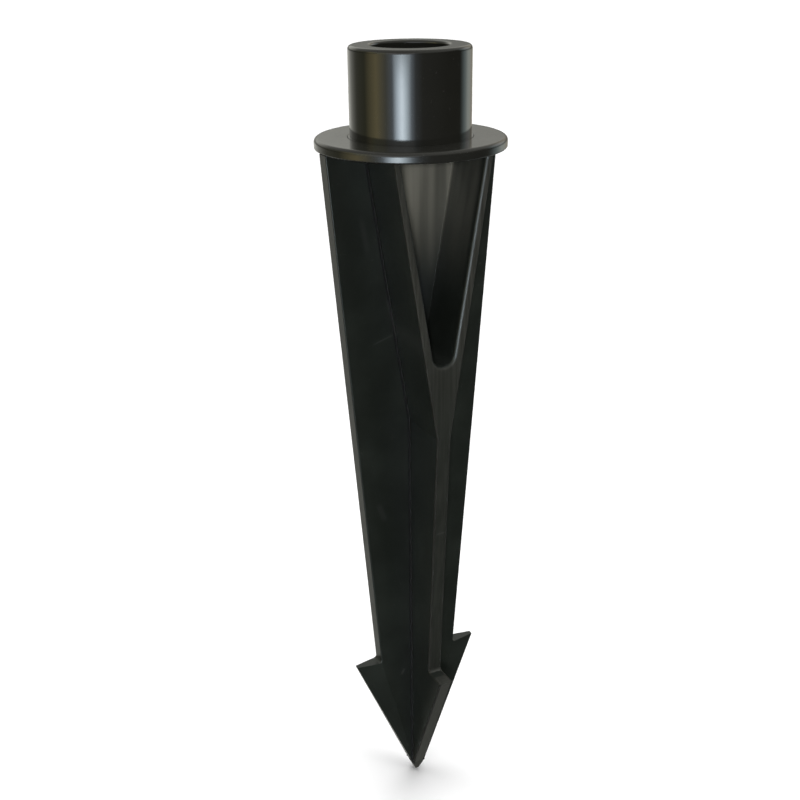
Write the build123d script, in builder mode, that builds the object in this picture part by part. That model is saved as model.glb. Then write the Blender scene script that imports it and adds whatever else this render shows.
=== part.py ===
"""Post anchor spike: a moulded ground stake with a socket for a post or a lamp stem.

Frame: the origin is on the socket's axis at the flange's underside, which is the ground
line once the stake is driven in. +Z points up, out of the socket. The arrow-shaped blade
lies in the XZ plane, and the two ribs stand out of its faces towards -Y (front) and +Y (rear).
"""

from build123d import *
import os

# Driving dimensions, in millimetres
flange_radius = 25.4
flange_thickness = 2.8
flange_top_rounding = 1.1
flange_bottom_rounding = 0.4

collar_radius = 16.0
collar_height = 23.0
collar_rim_rounding = 1.0
collar_foot_radius = 16.4
seam_chamfer = 0.25
socket_radius = 10.3
socket_mouth_rounding = 0.7

plate_thickness = 4.2
edge_rounding = 0.35
root_radius = 0.2
root_sink = 0.02

blade_shoulder = 25.4
neck_reach = 12.5
neck_depth = 156.4
neck_radius = 1.0
barb_reach = 20.2
barb_rounding = 0.5
barb_point_thickness = 1.4
tip_depth = 201.8
tip_reach = 0.5
point_start_depth = 198.5
point_thickness = 1.8

rib_shoulder = 18.5
rib_neck_reach = 12.9
rib_toe_depth = 203.3
pleat_depth = 77.0
pleat_half_width = 14.3
pocket_half_width = 12.3
pocket_apex_depth = 71.4
pocket_bottom_radius = 3.15
pocket_mouth_rounding = 1.2

half_plate = plate_thickness / 2


def circles_at(part, level):
    """A turned part's circular edges at one of its levels, from the smallest to the largest."""
    return part.edges().filter_by(GeomType.CIRCLE).group_by(Axis.Z)[level].sort_by(SortBy.RADIUS)


# Flange: the round plate that stops the stake at the ground line
with BuildPart() as flange_plate:
    with BuildSketch():
        Circle(flange_radius)
    extrude(amount=flange_thickness)
    fillet(circles_at(flange_plate, -1), flange_top_rounding)
    fillet(circles_at(flange_plate, 0), flange_bottom_rounding)
    Hole(collar_foot_radius)
    chamfer(circles_at(flange_plate, -1)[0], seam_chamfer)
flange_plate.part.label = "flange_plate"

# Collar: the thick-walled socket, whose foot fills the flange's hole
with BuildPart() as socket_collar:
    with BuildSketch():
        Circle(collar_foot_radius)
    extrude(amount=flange_thickness)
    with BuildSketch(Plane.XY.offset(flange_thickness)):
        Circle(collar_radius)
    extrude(amount=collar_height)
    fillet(circles_at(socket_collar, -1), collar_rim_rounding)
    Hole(socket_radius)
    fillet(circles_at(socket_collar, -1)[0], socket_mouth_rounding)
socket_collar.part.label = "socket_collar"

# Blade: the arrow-shaped plate that carries the two ribs
with BuildPart() as arrow_blade:
    with BuildSketch(Plane.XZ) as arrow:
        with BuildLine():
            Polyline(
                (0, 0),
                (blade_shoulder, 0),
                (neck_reach, -neck_depth),
                (barb_reach, -neck_depth),
                (tip_reach, -tip_depth),
                (0, -tip_depth),
                close=True,
            )
        make_face()
        neck, barb = arrow.vertices().group_by(Axis.Y)[1].sort_by(Axis.X)
        fillet(neck, neck_radius)
        fillet(barb, barb_rounding)
        mirror(about=Plane.YZ)
    extrude(amount=half_plate, both=True)
    below_flange = arrow_blade.edges().filter_by_position(Axis.Z, -tip_depth, -edge_rounding)
    fillet(below_flange.filter_by(Axis.Y, reverse=True), edge_rounding)

    # The head thins out from the neck to its barbs, and its last stretch is drawn to a point
    for side in (-1, 1):
        for face in (-1, 1):
            barb_point = Vector(side * barb_reach, face * barb_point_thickness / 2, -neck_depth)
            neck_corner = Vector(side * neck_reach, face * half_plate, -neck_depth)
            tip_corner = Vector(side * tip_reach, face * half_plate, -tip_depth)
            across = neck_corner - barb_point
            down = tip_corner - barb_point
            outward = down.cross(across) * side * face
            split(bisect_by=Plane(barb_point, x_dir=across, z_dir=outward), keep=Keep.BOTTOM)
    for face in (-1, 1):
        start = Vector(0, face * half_plate, -point_start_depth)
        end = Vector(0, face * point_thickness / 2, -tip_depth)
        outward = Vector(1, 0, 0).cross(end - start) * face
        split(bisect_by=Plane(start, x_dir=(1, 0, 0), z_dir=outward), keep=Keep.BOTTOM)

arrow_blade.part.label = "arrow_blade"

# Front rib: the half arrow that stands on the blade, and its pleat with the open pocket
with BuildPart() as front_rib:
    with BuildSketch(Plane.YZ) as half_arrow:
        with BuildLine():
            Polyline(
                (0, 0),
                (-rib_shoulder, 0),
                (-rib_shoulder, -pleat_depth),
                (-rib_neck_reach, -neck_depth),
                (-barb_reach, -neck_depth),
                (0, -rib_toe_depth),
                close=True,
            )
        make_face()
        barb, neck = half_arrow.vertices().group_by(Axis.Y)[1].sort_by(Axis.X)
        fillet(neck, neck_radius)
        fillet(barb, barb_rounding)
    extrude(amount=half_plate, both=True)

    with BuildSketch(Plane.XZ):
        with BuildLine():
            Polyline(
                (-pleat_half_width, 0),
                (pleat_half_width, 0),
                (half_plate, -pleat_depth),
                (-half_plate, -pleat_depth),
                close=True,
            )
        make_face()
    extrude(amount=rib_shoulder)

    with BuildSketch(Plane.XZ) as pocket:
        with BuildLine():
            Polyline((-pocket_half_width, 0), (pocket_half_width, 0), (0, -pocket_apex_depth), close=True)
        make_face()
        fillet(pocket.vertices().sort_by(Axis.Y)[0], pocket_bottom_radius)
    extrude(amount=rib_shoulder, mode=Mode.SUBTRACT)
    mouth = front_rib.edges(Select.LAST).group_by(Axis.Y)[0].filter_by(Axis.X, reverse=True)
    fillet(mouth, pocket_mouth_rounding)

    # The root radii grow out of a slab in the blade's place, which is then cut away
    with BuildSketch(Plane.XZ):
        Rectangle(4 * barb_reach, 3 * tip_depth)
    extrude(amount=half_plate - root_sink)
    split(bisect_by=Plane.XY, keep=Keep.BOTTOM)
    slab_face = root_sink - half_plate
    roots = (
        front_rib.edges()
        .filter_by_position(Axis.Y, slab_face - root_sink, slab_face + root_sink)
        .filter_by_position(Axis.X, -pleat_half_width, pleat_half_width)
        .filter_by_position(Axis.Z, -tip_depth, -root_radius)
        .filter_by(Axis.X, reverse=True)
    )
    fillet(roots, root_radius)
    split(bisect_by=Plane.XZ.offset(half_plate), keep=Keep.TOP)

    long_edges = (
        front_rib.edges()
        .filter_by(GeomType.LINE)
        .filter_by(Axis.X, reverse=True)
        .filter_by(Axis.Y, reverse=True)
        .filter_by_position(Axis.Y, -barb_reach, -half_plate - 2 * root_radius)
        .filter_by_position(Axis.Z, -tip_depth, -edge_rounding)
    )
    fillet(long_edges.sort_by(Axis.Z), edge_rounding)
front_rib.part.label = "front_rib"

# Rear rib: the front rib's mirror image behind the blade
with BuildPart() as rear_rib:
    mirror(front_rib.part, about=Plane.XZ)
rear_rib.part.label = "rear_rib"

os.makedirs("parts", exist_ok=True)
for piece in (flange_plate, socket_collar, arrow_blade, front_rib, rear_rib):
    export_step(piece.part, f"parts/{piece.part.label}.step")
    print(piece.part.label, round(piece.part.volume), piece.part.bounding_box())
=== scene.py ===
"""Looks of the post anchor spike: moulded black plastic on a pale floor in soft studio light."""

import math

import bpy
from mathutils import Matrix, Vector


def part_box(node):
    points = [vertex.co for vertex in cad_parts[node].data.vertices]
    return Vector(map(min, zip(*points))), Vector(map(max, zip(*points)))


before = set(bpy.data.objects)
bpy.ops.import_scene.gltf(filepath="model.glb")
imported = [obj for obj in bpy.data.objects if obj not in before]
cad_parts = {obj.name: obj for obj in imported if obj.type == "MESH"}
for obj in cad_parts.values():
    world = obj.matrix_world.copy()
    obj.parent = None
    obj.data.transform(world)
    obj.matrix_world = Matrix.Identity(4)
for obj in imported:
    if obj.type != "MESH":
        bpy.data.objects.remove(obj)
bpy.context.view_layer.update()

MM = 0.001

# The stake's own measures, read from the frame: the flange's top and the spike's tip
FLANGE_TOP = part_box("flange_plate")[1].z
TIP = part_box("arrow_blade")[0].z

# The plates' half thickness
HALF_PLATE = 2.1 * MM

# The pleat at the head of each rib narrows from the flange down to a single plate's width
PLEAT_HALF_WIDTH = 14.3 * MM
PLEAT_DEPTH = 77 * MM
PLEAT_TAPER = (PLEAT_HALF_WIDTH - HALF_PLATE) / PLEAT_DEPTH

# The pleat's open pocket narrows to a point at its depth, if its round end is left out. Its lining is
# painted lighter for the light it catches, and that painted light fades to plain black between the two
# heights as painted shade.
POCKET_HALF_WIDTH = 12.3 * MM
POCKET_DEPTH = 71.4 * MM
POCKET_TAPER = POCKET_HALF_WIDTH / POCKET_DEPTH
POCKET_SHADE_LOW = -40 * MM
POCKET_SHADE_HIGH = -12 * MM

# The ribs' outer faces stand upright down to the pleat's end and draw in towards the neck. From the
# barbs, at the neck's depth, they run in to the toe.
RIB_REACH = 18.5 * MM
NECK_REACH = 12.9 * MM
NECK_DEPTH = 156.4 * MM
BARB_REACH = 20.2 * MM
TOE_DEPTH = 203.3 * MM
NECK_TAPER = (RIB_REACH - NECK_REACH) / (NECK_DEPTH - PLEAT_DEPTH)
HEAD_TAPER = BARB_REACH / (TOE_DEPTH - NECK_DEPTH)

# Light scuffs on the spike's front, and in the second row a painted reflection beside a rib's root: their
# middles on X and Z, half length and half width, their slope in degrees and how strongly they show
SCUFFS_AND_SHEEN = [
    (-10 * MM, -51.5 * MM, 4.2 * MM, 0.35 * MM, 17, 0.5),
    (-7.4 * MM, -46 * MM, 8 * MM, 0.5 * MM, -76, 0.25),
    (-11.5 * MM, -104.5 * MM, 4 * MM, 1.3 * MM, -70, 0.25),
    (-5.3 * MM, -161.7 * MM, 1.4 * MM, 0.6 * MM, 60, 0.8),
    (0.1 * MM, -107.5 * MM, 1.9 * MM, 0.4 * MM, 3, 0.7),
    (-15 * MM, -22 * MM, 7 * MM, 1.2 * MM, -80, 0.2),
]

# The tones of the moulding's pale specks, of the painted shade in its creases and along the ribs' outer
# edges, and of its scuffs and the painted reflection beside a rib's root
SPECK_TONE = (0.11, 0.11, 0.105)
CREASE_SHADE = (0.004, 0.004, 0.004)
SCUFF_AND_SHEEN_TONE = (0.055, 0.057, 0.055)

# The camera: where it stands from the stake's axis and the flange's top, and where it looks
CAMERA_AZIMUTH = math.radians(-27.6)
CAMERA_DISTANCE = 310 * MM
CAMERA_RISE = 52.1 * MM
CAMERA_YAW = math.radians(0.675)
CAMERA_PITCH = math.radians(22.27)
CAMERA_ROLL = math.radians(-0.72)
CAMERA_LENS = 52.7

# What the gloss mirrors, round the stake: degrees from the front (0) over the right (90), and its light
ROOM = [
    (-180, (0.90, 0.90, 0.82)),
    (-158, (0.55, 0.55, 0.48)),
    (-145, (0.28, 0.28, 0.22)),
    (-120, (0.25, 0.25, 0.15)),
    (-93, (1.65, 1.40, 0.72)),
    (-73, (0.80, 0.80, 0.65)),
    (-60, (1.2, 1.4, 1.6)),
    (-51, (8.5, 10.0, 11.2)),
    (-43, (14.5, 16.5, 18.0)),
    (-35, (8.5, 10.0, 11.0)),
    (-26, (1.8, 2.1, 2.4)),
    (-18, (0.45, 0.50, 0.55)),
    (-5, (0.16, 0.16, 0.15)),
    (45, (0.06, 0.06, 0.05)),
    (77, (0.05, 0.05, 0.04)),
    (90, (0.65, 0.80, 0.80)),
    (105, (1.20, 1.30, 1.20)),
    (128, (0.50, 0.45, 0.36)),
    (150, (0.50, 0.50, 0.46)),
    (180, (0.90, 0.90, 0.82)),
]
# The same below the window sill
LOW_ROOM = [
    (-180, (0.80, 0.80, 0.74)),
    (-150, (0.38, 0.38, 0.34)),
    (-128, (0.16, 0.17, 0.14)),
    (-62, (0.12, 0.13, 0.12)),
    (-43, (1.0, 1.2, 1.3)),
    (-24, (0.08, 0.09, 0.08)),
    (10, (0.05, 0.07, 0.05)),
    (75, (0.05, 0.06, 0.05)),
    (95, (0.30, 0.34, 0.32)),
    (140, (0.30, 0.30, 0.28)),
    (180, (0.80, 0.80, 0.74)),
]
WHITE = (1.0, 1.0, 1.0)
# Near the window's top the room is held to this light. Above the window a share of that light goes
# on, and higher up the room is held to white and then brightened.
WINDOW_TOP = (3.4, 3.9, 4.2)
LINTEL_SHARE = 0.42
HIGH_WALL_GAIN = 1.25
CEILING = (0.50, 0.50, 0.47)
GROUND = (0.30, 0.30, 0.27)


# ---------------------------------------------------------------- camera, floor and light


def aim(light, place, target):
    """Puts a light at place, shining at target."""
    light.location = place
    light.rotation_euler = (Vector(target) - Vector(place)).to_track_quat("-Z", "Y").to_euler()


def around(azimuth, distance, height):
    """A place around the stake: azimuth 0 is in front of it (-Y), and positive turns towards +X."""
    turn = math.radians(azimuth)
    return (distance * math.sin(turn), -distance * math.cos(turn), height)


def make_camera():
    """The camera, turned from level by its pitch and then by its roll."""
    camera = bpy.data.objects.new("camera", bpy.data.cameras.new("camera"))
    camera.data.lens = CAMERA_LENS
    camera.data.sensor_width = 36
    camera.data.clip_start = 0.01
    bpy.context.scene.collection.objects.link(camera)
    place = Vector((
        CAMERA_DISTANCE * math.sin(CAMERA_AZIMUTH),
        -CAMERA_DISTANCE * math.cos(CAMERA_AZIMUTH),
        FLANGE_TOP + CAMERA_RISE,
    ))
    turn = (
        Matrix.Rotation(CAMERA_AZIMUTH + CAMERA_YAW, 4, "Z")
        @ Matrix.Rotation(math.pi / 2 - CAMERA_PITCH, 4, "X")
        @ Matrix.Rotation(CAMERA_ROLL, 4, "Z")
    )
    camera.matrix_world = Matrix.Translation(place) @ turn
    bpy.context.scene.camera = camera


def small_light(name, place, size, power):
    """A small soft lamp that lights the matt surfaces only: the gloss mirrors the room instead."""
    lamp = bpy.data.lights.new(name, "AREA")
    lamp.shape = "DISK"
    lamp.size = size
    lamp.energy = power
    light = bpy.data.objects.new(name, lamp)
    bpy.context.scene.collection.objects.link(light)
    aim(light, place, (0, 0, TIP / 3))
    light.visible_glossy = False


def make_lights():
    """A wide soft light from above and one small lamp on either side of the camera."""
    sky = bpy.data.lights.new("overhead", "SUN")
    sky.angle = math.radians(60)
    sky.energy = 3.9
    overhead = bpy.data.objects.new("overhead", sky)
    bpy.context.scene.collection.objects.link(overhead)
    aim(overhead, (0.1, 0.2, 2.0), (0, 0, 0))
    overhead.visible_glossy = False
    small_light("fill_left", around(-29, distance=0.6, height=0.11), size=0.06, power=2.0)
    small_light("fill_right", around(35, distance=0.9, height=0.15), size=0.25, power=2.0)


def make_world():
    """The room that the gloss mirrors, which lights no matt surface."""
    world = bpy.data.worlds.new("studio")
    bpy.context.scene.world = world
    world.use_nodes = True
    s = Nodes(world.node_tree)
    direction = s.add("ShaderNodeTexCoord").outputs["Generated"]
    right, back, height = s.split(direction)
    angle = s.math("ARCTAN2", right, s.math("MULTIPLY", back, -1))
    turn = s.math("MULTIPLY", angle, 180 / math.pi)

    walls = s.ramp(turn, ROOM, low=-180, high=180)
    low_walls = s.ramp(turn, LOW_ROOM, low=-180, high=180)
    window_top = s.capped(walls, WINDOW_TOP)
    high_walls = s.scaled(s.capped(walls, WHITE), HIGH_WALL_GAIN)

    # Each layer takes over between two heights: -1 is straight down, 0 level and 1 straight up
    layers = [
        (-0.30, -0.20, walls),
        (-0.113, -0.103, window_top),
        (-0.085, -0.03, s.scaled(window_top, LINTEL_SHARE)),
        (0.09, 0.20, high_walls),
        (0.42, 0.55, CEILING),
        (-0.70, -0.90, GROUND),
    ]
    room = low_walls
    for start, end, layer in layers:
        room = s.mix(s.smooth(height, start, end), room, layer)
    background = s.add("ShaderNodeBackground", Color=room, Strength=1.0)
    s.add("ShaderNodeOutputWorld", Surface=background.outputs["Background"])
    world.cycles.sampling_method = "NONE"
    world.cycles_visibility.diffuse = False


def stage_piece(name, mesh, material):
    """Adds a piece of the stage, which lends the stake no light and doesn't show in its gloss."""
    piece = bpy.data.objects.new(name, mesh)
    bpy.context.scene.collection.objects.link(piece)
    mesh.materials.append(material)
    piece.visible_glossy = False
    piece.visible_diffuse = False
    return piece


def make_floor():
    """A plain pale floor just under the stake's tip, and a white wall all round it."""
    reach = 6.0
    level = TIP - 0.2 * MM
    floor_mesh = bpy.data.meshes.new("floor")
    corners = [(-reach, -reach), (reach, -reach), (reach, reach), (-reach, reach)]
    floor_mesh.from_pydata([(x, y, level) for x, y in corners], [], [(0, 1, 2, 3)])
    pale = bpy.data.materials.new("pale_floor")
    pale.use_nodes = True
    s = Nodes(pale.node_tree)
    matt = s.add("ShaderNodeBsdfDiffuse", Color=(0.9, 0.9, 0.9))
    s.add("ShaderNodeOutputMaterial", Surface=matt.outputs["BSDF"])
    stage_piece("floor", floor_mesh, pale)

    sides = 48
    ring = []
    for i in range(sides):
        angle = 2 * math.pi * i / sides
        ring.append((reach * math.cos(angle), reach * math.sin(angle)))
    wall_mesh = bpy.data.meshes.new("wall")
    wall_mesh.from_pydata(
        [(x, y, level) for x, y in ring] + [(x, y, reach) for x, y in ring],
        [],
        [(i, (i + 1) % sides, sides + (i + 1) % sides, sides + i) for i in range(sides)],
    )
    white = bpy.data.materials.new("white_wall")
    white.use_nodes = True
    s = Nodes(white.node_tree)
    glow = s.add("ShaderNodeEmission", Color=WHITE, Strength=1.05)
    s.add("ShaderNodeOutputMaterial", Surface=glow.outputs["Emission"])
    wall = stage_piece("wall", wall_mesh, white)
    wall.visible_shadow = False


# ---------------------------------------------------------------- shader helpers


class Nodes:
    """A short way to write a node tree: add() makes a node and sets or links its inputs."""

    def __init__(self, tree):
        self.tree = tree
        tree.nodes.clear()

    def add(self, kind, settings=None, **inputs):
        node = self.tree.nodes.new(kind)
        for key, value in (settings or {}).items():
            setattr(node, key, value)
        for key, value in inputs.items():
            self.set(node.inputs[key.replace("_", " ")], value)
        return node

    def set(self, socket, value):
        """Links a socket to value, or sets it, with alpha 1 where value is a colour."""
        if isinstance(value, bpy.types.NodeSocket):
            self.tree.links.new(value, socket)
        elif hasattr(value, "__len__") and len(value) == 3 and socket.type == "RGBA":
            socket.default_value = (*value, 1)
        else:
            socket.default_value = value

    def math(self, operation, a, b=0.0, c=0.0):
        node = self.add("ShaderNodeMath", {"operation": operation})
        for socket, value in zip(node.inputs, (a, b, c)):
            self.set(socket, value)
        return node.outputs[0]

    def split(self, vector):
        """A vector's three parts."""
        return self.add("ShaderNodeSeparateXYZ", Vector=vector).outputs[:3]

    def smooth(self, value, start, end, low=0.0, high=1.0):
        """value from start to end, turned smoothly into low to high."""
        node = self.add(
            "ShaderNodeMapRange", {"interpolation_type": "SMOOTHSTEP"},
            Value=value, From_Min=start, From_Max=end, To_Min=low, To_Max=high,
        )
        return node.outputs["Result"]

    def mix(self, share, a, b):
        """Colour a where share is 0, and b where it is 1."""
        # The node has sockets of the same names for each kind of data, so they are taken by number
        node = self.add("ShaderNodeMix", {"data_type": "RGBA"})
        for index, value in ((0, share), (6, a), (7, b)):
            self.set(node.inputs[index], value)
        return node.outputs[2]

    def ramp(self, value, stops, low, high):
        """Colours along value, whose stops are pairs of a value from low to high and a colour."""
        place = self.add("ShaderNodeMapRange", Value=value, From_Min=low, From_Max=high)
        node = self.add("ShaderNodeValToRGB", Fac=place.outputs["Result"])
        elements = node.color_ramp.elements
        while len(elements) < len(stops):
            elements.new(1.0)
        for element, (stop, colour) in zip(elements, stops):
            element.position = (stop - low) / (high - low)
            element.color = (*colour, 1)
        return node.outputs["Color"]

    def scaled(self, colour, factor):
        node = self.add("ShaderNodeVectorMath", {"operation": "SCALE"})
        self.set(node.inputs[0], colour)
        self.set(node.inputs["Scale"], factor)
        return node.outputs["Vector"]

    def capped(self, colour, most):
        """A colour held to no more than most in each of its three parts."""
        node = self.add("ShaderNodeVectorMath", {"operation": "MINIMUM"})
        self.set(node.inputs[0], colour)
        self.set(node.inputs[1], most)
        return node.outputs["Vector"]

    def noise(self, vector, scale, detail, roughness):
        node = self.add(
            "ShaderNodeTexNoise", Vector=vector, Scale=scale, Detail=detail, Roughness=roughness
        )
        return node.outputs["Fac"]

    def stretched(self, vector, factors):
        return self.add("ShaderNodeMapping", Vector=vector, Scale=factors).outputs["Vector"]

    def bump(self, height, strength, distance, normal=None):
        """A surface roughened by height, on top of the bumps in normal."""
        node = self.add("ShaderNodeBump", Height=height, Strength=strength, Distance=distance)
        if normal is not None:
            self.set(node.inputs["Normal"], normal)
        return node.outputs["Normal"]


# ---------------------------------------------------------------- the plastic


def black_plastic(name, base, roughness, mottling, grain, drag, pocket=None, rib_face_light=None):
    """Moulded black plastic.

    mottling is how much lighter its clouds are than base, grain and drag how strongly the fine grain
    and the streaks along Z stand out. The last two arguments are each a pair of tones, both painted
    light: those of the pocket's lining, lighter for the light it catches, and those of the ribs' outer
    faces, lighter for the light they catch. Noise scales are in waves to the metre.
    """
    material = bpy.data.materials.new(name)
    material.use_nodes = True
    s = Nodes(material.node_tree)
    place = s.add("ShaderNodeTexCoord").outputs["Object"]

    cloud = s.noise(place, scale=60, detail=4, roughness=0.6)
    fine = s.noise(place, scale=900, detail=3, roughness=0.6)
    streaks = s.noise(s.stretched(place, (1, 1, 0.03)), scale=1500, detail=2, roughness=0.5)
    specks = s.smooth(s.noise(place, scale=1100, detail=1, roughness=0.4), 0.72, 0.78)

    lighter = tuple(value * (1 + mottling) for value in base)
    colour = s.mix(s.smooth(cloud, 0.35, 0.75), base, lighter)
    colour = s.mix(s.math("MULTIPLY", specks, 0.10), colour, SPECK_TONE)

    rough = s.math("MULTIPLY", roughness, s.smooth(cloud, 0.3, 0.8, 0.9, 1.2))
    rough = s.math("MULTIPLY", rough, s.smooth(fine, 0.3, 0.7, 0.95, 1.08))
    if rib_face_light:
        creases = crease_mask(s, place)
        rough = s.math("MAXIMUM", rough, s.math("MULTIPLY", creases, 0.85))
        # Painted shade: the creases at the ribs' roots and along their outer edges are darkened.
        colour = s.mix(creases, colour, CREASE_SHADE)
        # Painted light: the ribs' outer faces are lightened in streaks, most at the top.
        face_light_tone = s.mix(s.smooth(streaks, 0.35, 0.65), *rib_face_light)
        colour = s.mix(face_light_mask(s, place), colour, face_light_tone)
        # Light scuffs, and a painted reflection beside a rib's root.
        colour = s.mix(scuff_and_sheen_mask(s, place), colour, SCUFF_AND_SHEEN_TONE)
    if pocket:
        # Painted light: the pocket's lining is lighter where light falls in, and it fades to plain black
        # with depth and on the walls as painted shade. The lining is also rougher.
        inside = pocket_light_mask(s, place)
        lining_streaks = s.noise(s.stretched(place, (1, 1, 0.05)), scale=260, detail=2, roughness=0.4)
        lining = s.mix(s.smooth(lining_streaks, 0.35, 0.65), *pocket)
        colour = s.mix(inside, colour, lining)
        rough = s.math("ADD", rough, s.math("MULTIPLY", inside, 0.15))

    relief = 0.02 * MM
    normal = s.bump(streaks, drag, relief)
    normal = s.bump(fine, grain, relief, normal)
    shader = s.add(
        "ShaderNodeBsdfPrincipled", Base_Color=colour, Roughness=rough, Normal=normal, IOR=1.5
    )
    s.add("ShaderNodeOutputMaterial", Surface=shader.outputs["BSDF"])
    return material


def from_middle(s, place):
    """A place's distance to either side of the middle, its distance to the front or rear, its height."""
    right, back, height = s.split(place)
    return s.math("ABSOLUTE", right), s.math("ABSOLUTE", back), height


def pocket_light_mask(s, place):
    """Where the pockets get painted light on their lining and more roughness: 1 on the web at the back of
    the ribs' open pockets, less on their walls and fading with depth as painted shade, 0 outside.
    """
    across, forward, height = from_middle(s, place)
    half_width = s.math("MULTIPLY_ADD", height, POCKET_TAPER, POCKET_HALF_WIDTH)
    within = s.smooth(s.math("SUBTRACT", half_width, across), -0.6 * MM, -0.2 * MM)
    # Painted shade: the lining's painted light fades out with depth.
    lit = s.smooth(height, POCKET_SHADE_LOW, POCKET_SHADE_HIGH)
    # Painted shade: the pocket's walls get less of the painted light than its web.
    web = s.smooth(forward, 3.4 * MM, 2.2 * MM, 0.3, 1.0)
    behind_mouth = s.smooth(forward, 17 * MM, 16 * MM)
    return s.math("MULTIPLY", s.math("MULTIPLY", within, lit), s.math("MULTIPLY", web, behind_mouth))


def face_reach(s, height):
    """How far the ribs' outer faces stand from the blade's middle at a height."""
    tapering = s.math("MULTIPLY_ADD", height, NECK_TAPER, RIB_REACH + PLEAT_DEPTH * NECK_TAPER)
    stem = s.math("MINIMUM", tapering, RIB_REACH)
    head = s.math("MULTIPLY_ADD", height, HEAD_TAPER, TOE_DEPTH * HEAD_TAPER)
    above_head = s.smooth(height, -NECK_DEPTH - 0.1 * MM, -NECK_DEPTH + 0.1 * MM)
    return s.math("MULTIPLY_ADD", s.math("SUBTRACT", stem, head), above_head, head)


def crease_mask(s, place):
    """Where painted shade and more roughness go: 1 in the creases where the ribs stand on the blade and
    along the ribs' outer edges, 0 elsewhere.
    """
    across, forward, height = from_middle(s, place)
    pleat = s.math("MULTIPLY_ADD", height, PLEAT_TAPER, PLEAT_HALF_WIDTH)
    beside = s.math("SUBTRACT", across, s.math("MAXIMUM", pleat, HALF_PLATE))
    root = s.math(
        "MULTIPLY",
        s.smooth(s.math("ABSOLUTE", beside), 0.9 * MM, 0.55 * MM),
        s.smooth(forward, HALF_PLATE + 0.9 * MM, HALF_PLATE + 0.5 * MM),
    )
    edge = s.math(
        "MULTIPLY",
        s.smooth(beside, -0.6 * MM, -0.4 * MM),
        s.smooth(s.math("SUBTRACT", forward, face_reach(s, height)), -0.6 * MM, -0.4 * MM),
    )
    return s.math("MAXIMUM", root, edge)


def scuff_and_sheen_mask(s, place):
    """How strongly the light scuffs and the painted reflection beside a rib's root show: 0 to 1, on the
    front only.
    """
    right, back, height = s.split(place)
    wear = s.noise(place, scale=1800, detail=2, roughness=0.6)
    total = s.smooth(wear, 0.62, 0.8, 0.0, 0.15)
    for x, z, half_length, half_width, slope, strength in SCUFFS_AND_SHEEN:
        cos = math.cos(math.radians(slope))
        sin = math.sin(math.radians(slope))
        aside = s.math("SUBTRACT", right, x)
        up = s.math("SUBTRACT", height, z)
        along = s.math("ABSOLUTE", s.math("MULTIPLY_ADD", aside, cos, s.math("MULTIPLY", up, sin)))
        off = s.math("ABSOLUTE", s.math("MULTIPLY_ADD", up, cos, s.math("MULTIPLY", aside, -sin)))
        mark = s.math(
            "MULTIPLY",
            s.smooth(along, half_length, 0.4 * half_length, 0.0, strength),
            s.smooth(off, half_width, 0.2 * half_width),
        )
        total = s.math("MAXIMUM", total, mark)
    return s.math("MULTIPLY", total, s.smooth(back, 0.0, -1 * MM))


def face_light_mask(s, place):
    """Where the ribs' outer faces get painted light: 1 at the top, half of that below the pleat, 0
    elsewhere.
    """
    forward, height = from_middle(s, place)[1:]
    outer = s.smooth(s.math("SUBTRACT", forward, face_reach(s, height)), -0.4 * MM, -0.15 * MM)
    fading = s.smooth(height, -75 * MM, -30 * MM, 0.5, 1.0)
    return s.math("MULTIPLY", outer, fading)


def paint(node, material):
    """Gives a CAD node its one material."""
    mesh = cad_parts[node].data
    mesh.materials.clear()
    mesh.materials.append(material)


make_camera()
make_world()
make_floor()
make_lights()

paint("socket_collar", black_plastic(
    "collar_plastic", base=(0.011, 0.011, 0.009), roughness=0.10, mottling=0.2, grain=0.01, drag=0.05
))
paint("flange_plate", black_plastic(
    "flange_plastic", base=(0.014, 0.014, 0.012), roughness=0.17, mottling=0.4, grain=0.04, drag=0.0
))
spike_plastic = black_plastic(
    "spike_plastic", base=(0.012, 0.014, 0.012), roughness=0.34, mottling=0.6, grain=0.10, drag=0.1,
    # The pocket lining's two tones of painted light
    pocket=((0.090, 0.090, 0.076), (0.170, 0.167, 0.142)),
    # The ribs' outer faces' two tones of painted light
    rib_face_light=((0.030, 0.030, 0.026), (0.048, 0.048, 0.042)),
)
for piece in ("arrow_blade", "front_rib", "rear_rib"):
    paint(piece, spike_plastic)

bpy.context.scene.view_settings.view_transform = "Standard"
